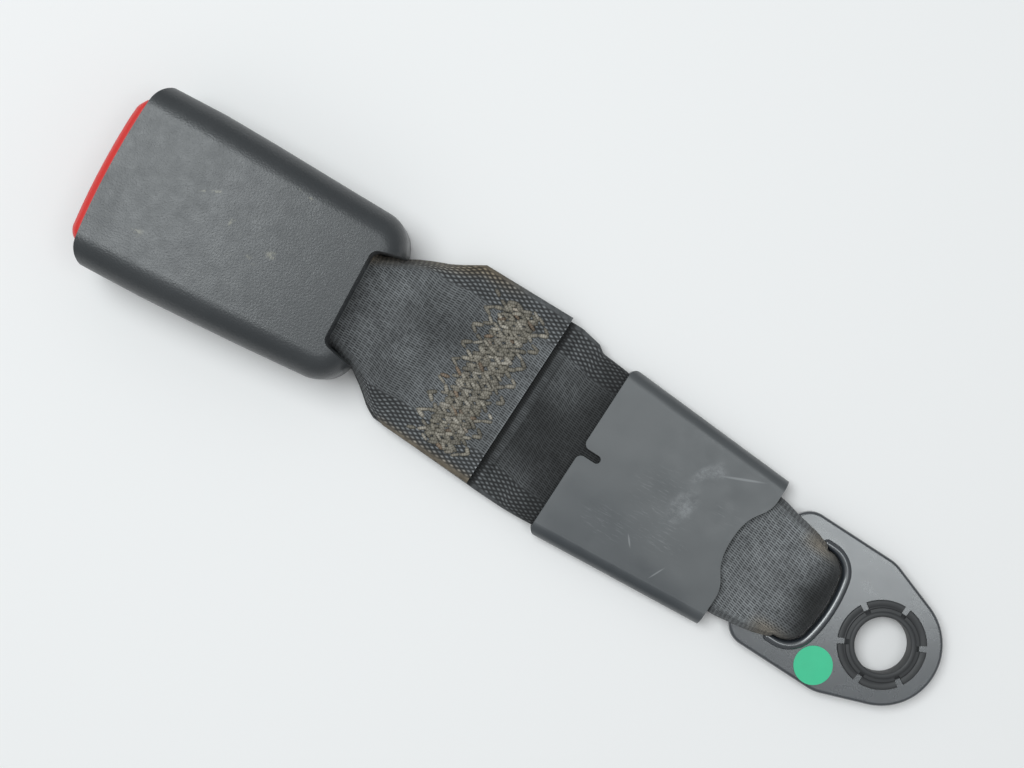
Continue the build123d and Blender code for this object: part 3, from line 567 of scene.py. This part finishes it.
def strap_width(x, layer):
    """Half width of the strap and the place of its middle, read from the edges in the photograph."""
    left = np.where(layer == 0, np.interp(x, *zip(*TOP_LEFT)), np.interp(x, *zip(*LAYER_LEFT)))
    right = np.where(layer == 0, np.interp(x, *zip(*TOP_RIGHT)), np.interp(x, *zip(*LAYER_RIGHT)))
    inside = step(x, TURN_END, TURN_END + 6)
    half = (left + right) / 2 * (1 - inside) + THROAT_HALF * inside
    return half, (left - right) / 2 * (1 - step(x, TURN_START, TURN_END))


def curl_depth(x, layer):
    """How far the side edges roll down, or up on the lowest layer."""
    anchor = 1.1 * step(x, 24.5, 30) * (1 - step(x, 38, 42))
    throat = 2.4 * step(x, 133, 142)
    rest = 0.25 * step(x, 42, 50)
    lowest = -anchor - 0.6 * step(x, 136, 146)
    return np.where(layer == 0, throat + rest, np.where(layer == 1, lowest, anchor + rest))


def strap_to_part(x, y):
    """Plan position of a strap point in the part's frame, still in millimetres."""
    c, s = math.cos(STRAP_YAW), math.sin(STRAP_YAW)
    return x * c - y * s, x * s + y * c


def strap_grid():
    """The strap's middle surface in the part's frame, with everything its material reads."""
    x, y, z, u, v, layer = strap_surface()
    z = z + RIDGE_HEIGHT * np.exp(-((x - RIDGE_X) / RIDGE_REACH) ** 2) * (layer == 2)
    z = z + ripples(x, y) * (layer == 0)
    t = step(x, TURN_START, TURN_END)
    plan = [a * (1 - t) + b * t for a, b in zip(strap_to_part(x, y), to_buckle(x, y))]
    return np.stack([*plan, z], axis=2), u, v, cloth_tone(x, y, layer), cloth_stain(x, y, layer)


def ripples(x, y):
    """Low folds that run from the corners of the stitched block into the throat."""
    reach = step(x, 128, 142) * (1 - step(x, 150, 158))
    return 0.22 * reach * np.sin(y / 3.1 + (x - 130) * 0.05) + 0.12 * reach * np.sin(y / 1.7 - x * 0.11)


def middle_tone(x, y):
    """Grey level of the middle layer: faded at the anchor, dark next to the sleeve, with painted shade in the
    fold, a painted shadow past the top layer's end and a painted highlight on the ridge.
    """
    tone = 0.160 + (0.026 - 0.160) * step(x, 55, 80)
    # Painted highlight along the raised ridge next to the top layer's end
    tone = tone + 0.05 * np.exp(-((x - RIDGE_X) / 0.7) ** 2)
    tone = tone + 0.022 * step(np.abs(y), 14, 18) * step(x, 80, 95)
    # Painted shadow on the middle layer just beyond the top layer's cut end
    tone = tone * (1 - 0.8 * np.exp(-((x - TOP_END + 0.9) / 0.8) ** 2))
    # Painted shade where the fold dives down into the plate's slot
    tone = tone * (0.12 + 0.88 * step(x + 0.3 * np.abs(y), 21, 30.5))
    return tone + 0.045 * step(x, 91, 101) * step(np.abs(y - 3), 4, 14) * (x < RIDGE_X - 1)


def top_tone(x, y):
    """Grey level of the top layer: a pale cut end, painted light that brightens it towards the throat, and
    darker and paler spots near the throat, of which the one by the lobe corner is painted shade and the one
    at the throat's upper corner painted light.
    """
    # Painted light: the top layer brightens towards the throat, where it rises; its cut end is paler
    tone = 0.118 + 0.02 * step(x, 130, 150) + 0.10 * (1 - step(x, TOP_END, TOP_END + 0.7))
    # Painted shade by the lobe corner and painted light at the throat's upper corner; also a darker streak
    # and a paler spot further back
    tone = tone * (1 - 0.38 * oval(x - 134, y + 7, 11, 7)) * (1 + 0.30 * oval(x - 151, y + 8, 8, 6))
    return tone * (1 - 0.30 * oval(x - 140, y - 13, 7, 6)) * (1 + 0.18 * oval(x - 127, y - 8, 7, 6))


def cloth_tone(x, y, layer):
    """Grey level of the cloth, with painted shade and painted light in places."""
    low = np.where(x < 60, 0.10, 0.055)
    return np.where(layer == 0, top_tone(x, y), np.where(layer == 1, low, middle_tone(x, y)))


def oval(x, y, length, width):
    """1 in the middle of a soft oval, falling to 0 outside."""
    return np.exp(-(x / length) ** 2 - (y / width) ** 2)


def cloth_stain(x, y, layer):
    """Brown dirt along the edges, from 0 to 1."""
    left = step(y, 19.5, 21.8) * (1 - step(x, 134, 138)) * 0.9
    narrowed = (x - 133).clip(0, 30) * 0.55
    throat = step(-y, 21.5 - narrowed, 25 - narrowed)
    top = np.maximum(left, throat * step(x, 118, 134)) * (layer == 0)
    anchor = 0.6 * step(np.abs(y), 9, 12.5) * (1 - step(x, 27, 33)) * (layer != 0)
    return np.maximum(top, anchor)


def ringed(upper, lower):
    """Rows that run over the upper side and back along the lower one."""
    return np.concatenate([upper, lower[:, -2:0:-1]], axis=1)


def strip_sides(place):
    """The upper and lower side of a strip round its middle surface, with rounded side edges."""
    normal = np.cross(np.gradient(place, axis=0), np.gradient(place, axis=1))
    normal /= np.linalg.norm(normal, axis=2, keepdims=True)
    widths = np.linalg.norm(np.diff(place, axis=1), axis=2)
    run = np.concatenate([np.zeros((len(place), 1)), np.cumsum(widths, 1)], 1)
    rim = np.minimum(run, run[:, -1:] - run) / EDGE_R
    body = np.sqrt(1 - np.clip(1 - rim, 0, 1) ** 2)[:, :, None]
    return place + normal * body * WEB_T / 2, place - normal * body * WEB_T / 2


def strip_faces(rows, columns):
    """The faces along a strip made of rings, and those that close its two ends."""
    loop = 2 * columns - 2
    i, j = np.meshgrid(np.arange(rows - 1), np.arange(loop), indexing="ij")
    k = (j + 1) % loop
    corners = (i * loop + j, (i + 1) * loop + j, (i + 1) * loop + k, i * loop + k)
    sides = np.stack(corners, axis=2).reshape(-1, 4).tolist()
    caps = []
    for row in (0, rows - 1):
        for c in range(columns - 1):
            face = list(dict.fromkeys([c, c + 1, (loop - c - 1) % loop, (loop - c) % loop]))
            face = face if row == 0 else face[::-1]
            caps.append([row * loop + p for p in face])
    return sides, caps


def strip_mesh(name, place, attributes):
    """A closed strip of an even thickness round a middle surface."""
    sides, caps = strip_faces(*place.shape[:2])
    mesh = bpy.data.meshes.new(name)
    mesh.from_pydata((ringed(*strip_sides(place)).reshape(-1, 3) * MM).tolist(), [], sides + caps)
    mesh.polygons.foreach_set("use_smooth", [True] * len(sides) + [False] * len(caps))
    for key, values in attributes.items():
        full = ringed(values, values)
        put_attribute(mesh, key, full.reshape(-1, *full.shape[2:]))
    return mesh


def add_strap(material):
    """The one strip of webbing, from its loop round the buckle's bar to its fold in the plate's slot."""
    place, u, v, tone, stain = strap_grid()
    attributes = {"cloth": np.stack([u, v, tone], axis=2), "stain": stain}
    strap = add_object("strap", strip_mesh("strap", place, attributes), material)
    ends = [Vector((*strap_to_part(x, 0), 0)) * MM for x in (BEND_START, BEND_END)]
    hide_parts("webbing")
    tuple(ends[0])
    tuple(ends[1])
    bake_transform(strap)


# Where the threads of a stitch lie across it
ONE = (0,)
TWO = (-0.4, 0.4)

# Rows of zigzag stitches: middle, swing, phase, pitch, stitches per leg, and threads
STITCH_ROWS = [(126.6, 4.6, 0, 5.05, 2, ONE), (123.4, 2.5, 1, 2.525, 1, TWO), (121.1, 2.4, 0, 2.525, 1, TWO),
               (118.8, 2.4, 1, 2.525, 1, TWO), (116.5, 2.5, 0, 2.525, 1, TWO), (113.7, 4.4, 0, 5.05, 2, ONE)]
STITCH_START = -21.7
STITCH_END = 18.7
STITCH_SEED = 7
STITCH_SHAKE = 0.4
STITCH_STEPS = 7
THREAD_R = 0.51
THREAD_SIDES = 8
THREAD_SUNK = 0.25


def zigzag(centre, swing, phase, pitch):
    """The corners of a row of stitches."""
    legs = round((STITCH_END - STITCH_START) / pitch * 2)
    return [(centre + swing / 2 * (-1) ** (k + phase), STITCH_START + pitch / 2 * k) for k in range(legs + 1)]


def stitch_ends():
    """Both ends of every stitch in the strap's plan."""
    for *row, pieces, threads in STITCH_ROWS:
        corners = zigzag(*row)
        for start, end in zip(corners, corners[1:]):
            for part in range(pieces):
                ends = [Vector(start).lerp(Vector(end), (part + side) / pieces) for side in (0, 1)]
                across = (ends[1] - ends[0]).normalized().orthogonal()
                for aside in threads:
                    yield [end + across * aside for end in ends]


def add_stitches(material):
    """The block of thread that joins the layers."""
    rng = random.Random(STITCH_SEED)
    points, faces, tones_with_painted_shade = [], [], []
    for ends in stitch_ends():
        faces += stitch_faces(len(points))
        add_stitch(ends, rng, points, tones_with_painted_shade)
    mesh = bpy.data.meshes.new("stitches")
    mesh.from_pydata([(x * MM, y * MM, z * MM) for x, y, z in points], [], faces)
    shade_smooth(mesh)
    put_attribute(mesh, "thread", tones_with_painted_shade)
    stitches = add_object("stitches", mesh, material)
    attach(stitches, "root")
    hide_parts("stitching")


def shaken(place, rng):
    """A place in the strap's plan, moved a little at random."""
    return place + Vector([rng.uniform(-STITCH_SHAKE, STITCH_SHAKE) for _ in place])


def add_stitch(ends, rng, points, tones_with_painted_shade):
    """One short arch of thread that dives into the cloth at both ends, darker with painted shade along its
    sides and towards its ends.
    """
    start, end = [shaken(place, rng) for place in ends]
    radius = THREAD_R * rng.uniform(0.8, 1.2)
    rise = rng.uniform(0.1, 0.3)
    shade, hue = rng.uniform(0.45, 1), rng.random()
    direction = (end - start).normalized()
    side = Vector((-direction.y, direction.x))
    for a in range(STITCH_STEPS + 1):
        t = a / STITCH_STEPS
        arch = math.sin(math.pi * t)
        body = math.sin(math.pi * (0.12 + 0.76 * t)) ** 0.5
        middle = start.lerp(end, t)
        height = TOP_Z + WEB_T / 2 - THREAD_SUNK + (rise + 0.28) * arch ** 0.6
        for b in range(THREAD_SIDES):
            turn = 2 * math.pi * b / THREAD_SIDES
            out = radius * body * math.cos(turn)
            x, y = strap_to_part(middle.x + side.x * out, middle.y + side.y * out)
            points.append((x, y, height + 0.6 * radius * body * math.sin(turn)))
            # Painted shade along the thread's sides and towards its ends, where it dives into the cloth
            tone_with_painted_shade = shade * (1 - 0.85 * abs(math.cos(turn)) ** 3) * (0.45 + 0.55 * arch ** 0.5)
            tones_with_painted_shade.append((tone_with_painted_shade, hue, t * (end - start).length))


def stitch_faces(first):
    """The faces of one stitch, whose points begin at a number."""
    sides = THREAD_SIDES
    faces = []
    for a in range(STITCH_STEPS):
        for b in range(sides):
            near, far, c = first + a * sides, first + (a + 1) * sides, (b + 1) % sides
            faces.append([near + b, near + c, far + c, far + b])
    faces.append([first + b for b in reversed(range(sides))])
    faces.append([first + STITCH_STEPS * sides + b for b in range(sides)])
    return faces


# Bolt bush, in millimetres and degrees: its profile as radius and height, and its slits
BUSH_PROFILE = [
    (7.05, -2.5), (7.05, 2.55), (7.15, 2.75), (7.35, 2.85), (7.95, 2.85), (8.2, 2.75), (8.45, 2.5),
    (9.2, 2.4), (9.35, 1.95), (9.6, 1.85), (9.8, 1.95), (10.75, 2.1), (11.05, 2.0), (11.2, 1.8),
    (11.2, 1.5), (9.35, 1.5), (9.35, -1.5), (11.2, -1.5), (11.2, -2.5),
]
SLIT_START = -93.0
SLITS = 6
SLIT_HALF = 3.9
SLIT_WALL = 0.45
SLIT_R = 8.9
SLIT_FLOOR = 1.45
BUSH_STEPS = 14
BUSH_ROUND = 0.00008


def bush_turns(slits):
    """The directions of the bush's mesh: at each slit's edges and evenly between the slits."""
    marks = [-SLIT_HALF - SLIT_WALL, -SLIT_HALF, 0, SLIT_HALF, SLIT_HALF + SLIT_WALL]
    turns = [slit + mark for slit in slits for mark in marks]
    turns += [slit + 360 / SLITS * k / BUSH_STEPS for slit in slits for k in range(2, BUSH_STEPS - 1)]
    return sorted(turns)


def bush_mesh():
    """The profile turned round the bolt's axis, lowered in the slits."""
    slits = [SLIT_START + k * 360 / SLITS for k in range(SLITS)]
    turns = bush_turns(slits)
    points, faces = [], []
    for turn in turns:
        in_slit = min(abs(turn - slit) for slit in slits) < SLIT_HALF + SLIT_WALL / 2
        a = math.radians(turn) + STRAP_YAW
        for r, z in BUSH_PROFILE:
            low = in_slit and z > SLIT_FLOOR and r > SLIT_R
            points.append((r * math.cos(a) * MM, r * math.sin(a) * MM, (SLIT_FLOOR if low else z) * MM))
    rows, loop = len(turns), len(BUSH_PROFILE)
    for i in range(rows):
        for j in range(loop):
            a, b, k = i * loop, (i + 1) % rows * loop, (j + 1) % loop
            faces.append((a + j, a + k, b + k, b + j))
    mesh = bpy.data.meshes.new("bush")
    mesh.from_pydata(points, [], faces)
    shade_smooth(mesh)
    return mesh


def add_bush(material):
    """The slit plastic bush that clips into the plate's hole."""
    bush = add_object("bush", bush_mesh(), material)
    bevel = bush.modifiers.new("edges", "BEVEL")
    bevel.width = BUSH_ROUND
    bevel.segments = 2
    bevel.limit_method = "ANGLE"
    bevel.harden_normals = True
    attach(bush, "anchor")
    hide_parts("bolt_bush")


# How far the housing's long sides bow out, in millimetres over the distance from its rear end
BOW_RIGHT = [(0, 0.3), (7, 0.45), (22, 0.75), (40, 1.2), (54, 1.4), (66, 1.0), (72, 0.8)]
BOW_LEFT = [(0, -0.1), (10, 0.1), (24, 0.5), (38, 0.75), (52, 0.85), (64, 0.6), (72, 0.4)]
BOW_REACH = 9.0
BOW_FROM = 15.5

# The unbowed housing's length, its half width at the rear, and how much wider each side is at the mouth
HOUSING_LENGTH = 71.8
REAR_HALF = 21.8
MOUTH_SPREAD = 1.75

# The mesh that bows is cut at these steps from its rear end, and its normals are read this far inward
CUT_LENGTH = 2.6
CUTS = range(4, 28)
INWARD = 0.04


def side_place(x):
    """Half width of the unbowed housing at a distance from its rear end."""
    return REAR_HALF + MOUTH_SPREAD * x / HOUSING_LENGTH


def model_normals(node, bm):
    """The model's own surface normals at every face corner of a mesh that lies on it."""
    source, world = NODES[node].data, NODES[node].matrix_world
    source.calc_loop_triangles()
    points = [world @ vertex.co for vertex in source.vertices]
    triangles = source.loop_triangles
    tree = BVHTree.FromPolygons(points, [tuple(t.vertices) for t in triangles])
    turn = world.to_3x3()
    normals = []
    for face in bm.faces:
        centre = face.calc_center_median()
        for loop in face.loops:
            near, _, index, _ = tree.find_nearest(loop.vert.co.lerp(centre, INWARD))
            triangle = triangles[index]
            weights = poly_3d_calc([points[v] for v in triangle.vertices], near)
            parts = (source.corner_normals[c].vector * w for c, w in zip(triangle.loops, weights))
            normals.append((turn @ sum(parts, Vector())).normalized())
    return normals


def cut_across(bm):
    """Cuts a mesh into short lengths along the buckle, so that its sides can bend."""
    for k in CUTS:
        plane = (BUCKLE_X + CUT_LENGTH * k * MM, 0, 0)
        parts = bm.verts[:] + bm.edges[:] + bm.faces[:]
        bmesh.ops.bisect_plane(bm, geom=parts, dist=1e-7, plane_co=plane, plane_no=(1, 0, 0))


def bow_out(bm):
    """Moves the long sides of the housing out."""
    for vertex in bm.verts:
        x, y = (vertex.co.x - BUCKLE_X) / MM, (vertex.co.y - BUCKLE_Y) / MM
        bow = np.interp(x, *zip(*(BOW_LEFT if y > 0 else BOW_RIGHT)))
        near = float(step(abs(y), max(side_place(x) - BOW_REACH, BOW_FROM), side_place(x)))
        vertex.co.y += math.copysign(bow * near, y) * MM


def add_housing_half(node, material):
    """A housing half with bowed long sides, from a copy of the model's mesh with the model's normals."""
    bm = copied_mesh(node)
    bmesh.ops.remove_doubles(bm, verts=bm.verts, dist=1e-6)
    cut_across(bm)
    normals = model_normals(node, bm)
    bow_out(bm)
    mesh = finished_mesh(bm, node + "_bowed")
    mesh.normals_split_custom_set(normals)
    half = add_object(node + "_bowed", mesh, material)
    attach(half, "root")
    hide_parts(node)


# The release button's front lies further in than the model's, and its right end even more, in millimetres
BUTTON_FRONT = (3.5, 1.0)
BUTTON_END = (7.0, 0.0)
BUTTON_BACK = 0.35
BUTTON_RIGHT_BACK = 0.15
BUTTON_NARROWER = 0.5
BUTTON_SHARP = math.radians(38)


def add_button(material):
    """The release button, as far out of the mouth as in the photograph."""
    low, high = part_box("release_button")
    bm = copied_mesh("release_button")
    for vertex in bm.verts:
        out = float(step((high.x - vertex.co.x) / MM, *BUTTON_FRONT))
        right = float(step((vertex.co.y - low.y) / MM, *BUTTON_END))
        vertex.co.x -= (BUTTON_BACK * out + BUTTON_RIGHT_BACK * right * out) * MM
        vertex.co.y += BUTTON_NARROWER * right * out * MM
    mesh = finished_mesh(bm, "button_cap")
    mesh.set_sharp_from_angle(angle=BUTTON_SHARP)
    cap = add_object("button_cap", mesh, material)
    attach(cap, "button")
    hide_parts("release_button")


# Weave, in millimetres: the floats' pitch along and across, and where the selvedge begins and ends
FLOAT_PITCH = 1.27
WARP_PITCH = 0.585
SELVEDGE = (15.6, 16.6)
BINDING = (22.6, 23.4)


def floats(n, u, v):
    """Rows of short floats with dark slits between them: the height, and each float's row and column."""
    sway = n.scaled(n.noise(60, 2), 1.2, -0.6)
    row = n.math("DIVIDE", n.math("ADD", u, sway), FLOAT_PITCH)
    line = n.math("FLOOR", row)
    lean = n.scaled(n.noise(90, 2), 0.9, -0.1)
    column = n.math("ADD", n.math("DIVIDE", v, WARP_PITCH), n.times(n.math("FRACT", row), lean))
    column = n.scaled(n.white(n.combine(line, 7.0)), 0.6, column)
    cell = n.combine(line, n.math("FLOOR", n.math("ADD", column, 0.5)))
    slit = n.math("SUBTRACT", 1.0, n.hump(column, 2.6))
    slit = n.times(slit, n.hump(row, 3.5))
    slit = n.times(slit, n.scaled(n.white(cell), 0.45, 0.55))
    return n.math("SUBTRACT", 1.0, slit), line, column


def diamonds(n, u, v):
    """The coarser diamond pattern along the side edges."""
    along, across = n.times(u, 0.46), n.times(v, 0.88)
    humps = [n.hump(n.math(side, along, across), 1.6) for side in ("ADD", "SUBTRACT")]
    return n.scaled(n.math("POWER", n.times(*humps), 1.3), 1.1, 0.32)


def webbing_cloth():
    """Woven polyester: short floats in the middle, diamonds along the edges, and brown dirt."""
    n = Nodes("webbing_cloth")
    # The cloth attribute's third value is the grey level, which holds painted shade and painted light from
    # cloth_tone
    u, v, tone = n.split(n.attribute("cloth"))
    plain, line, column = floats(n, u, v)
    reach = n.math("ABSOLUTE", v)
    height = n.blend(n.smooth(reach, *SELVEDGE), plain, diamonds(n, u, v))
    height = n.blend(n.smooth(reach, *BINDING), height, 0.75)
    spark = n.white(n.combine(line, n.math("FLOOR", column), 3.0))
    level = n.scaled(n.math("POWER", height, 1.9), 1.15, 0.05)
    level = n.times(level, n.scaled(spark, 0.4, 0.82))
    level = n.times(level, n.scaled(n.noise(180, 4), 0.9, 0.55))
    grey = n.times(level, tone)
    clean = n.mix(1.0, grey, (0.96, 1.0, 1.03), "MULTIPLY")
    brown = n.mix(1.0, n.times(grey, 1.12), (1.26, 1.02, 0.72), "MULTIPLY")
    n.bump(height, 0.9, 0.00025)
    n.set(rough=0.75, specular=0.35, sheen=0.15)
    return n.set(colour=n.mix(n.attribute("stain", "Fac"), clean, brown))


# Colours of the thread pieces, most of them tan and a few pale or brown
THREAD_TINTS = [(0.0, (0.17, 0.155, 0.125)), (0.5, (0.21, 0.19, 0.155)), (0.85, (0.29, 0.265, 0.22)),
                (0.94, (0.37, 0.34, 0.29)), (0.98, (0.19, 0.14, 0.10))]


def stitch_thread():
    """Twisted thread, each piece in its own shade, darkened by painted shade along its sides and towards its
    ends.
    """
    n = Nodes("stitch_thread")
    # The thread attribute's first value is the piece's tone with painted shade along its sides and ends
    shade, hue, along = n.split(n.attribute("thread"))
    tan = n.ramp(hue, THREAD_TINTS)
    twist = n.hump(n.scaled(along, 1.6, n.times(n.noise(900, 2), 0.8)), 2.0)
    level = n.times(n.scaled(shade, 1.1, 0.25), n.scaled(twist, 0.5, 0.6))
    n.bump(twist, 0.6, 0.0001)
    n.set(rough=0.6, specular=0.4)
    return n.set(colour=n.mix(1.0, tan, level, "MULTIPLY"))


def set_material(name, material):
    """Gives a CAD node a better material."""
    data = NODES[name].data
    data.materials.clear()
    data.materials.append(material)


def add_floor():
    """The ground that the part lies on."""
    corners = [(x * FLOOR_HALF, y * FLOOR_HALF, FLOOR) for x, y in ((-1, -1), (1, -1), (1, 1), (-1, 1))]
    mesh = bpy.data.meshes.new("floor")
    mesh.from_pydata(corners, [], [(0, 1, 2, 3)])
    floor = add_object("floor", mesh, floor_material())
    floor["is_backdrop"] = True


add_camera()
add_lights()
add_floor()

HOUSING = housing_plastic()
SLEEVE = sleeve_plastic()
BUSH = plain_plastic("bush_plastic", (0.036, 0.037, 0.039), 0.45)
RED = plain_plastic("red_plastic", (0.75, 0.035, 0.03), 0.35)
NATURAL = plain_plastic("natural_plastic", (0.55, 0.55, 0.52), 0.5)
GREEN = plain_plastic("green_mark", (0.045, 0.60, 0.31), 0.4)
CLOTH = webbing_cloth()
THREAD = stitch_thread()
STEEL = steel()
COAT = black_coat()
FINISH = {
    "housing_upper": HOUSING, "housing_lower": HOUSING, "tongue_guide": BUSH, "release_button": RED,
    "button_carriage": NATURAL, "bar_liner": NATURAL, "ejector": NATURAL, "webbing": CLOTH,
    "stitching": THREAD, "sleeve": SLEEVE, "anchor_plate": COAT, "bolt_bush": BUSH, "marker_dot": GREEN,
}
for node in NODES:
    set_material(node, FINISH.get(node, STEEL))

add_strap(CLOTH)
add_stitches(THREAD)
add_bush(BUSH)
add_button(RED)
for half_node in ("housing_upper", "housing_lower"):
    add_housing_half(half_node, HOUSING)

boxes = {"cad": cad_bounds, "visual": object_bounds()}
{key: [list(corner) for corner in value] for key, value in boxes.items()}
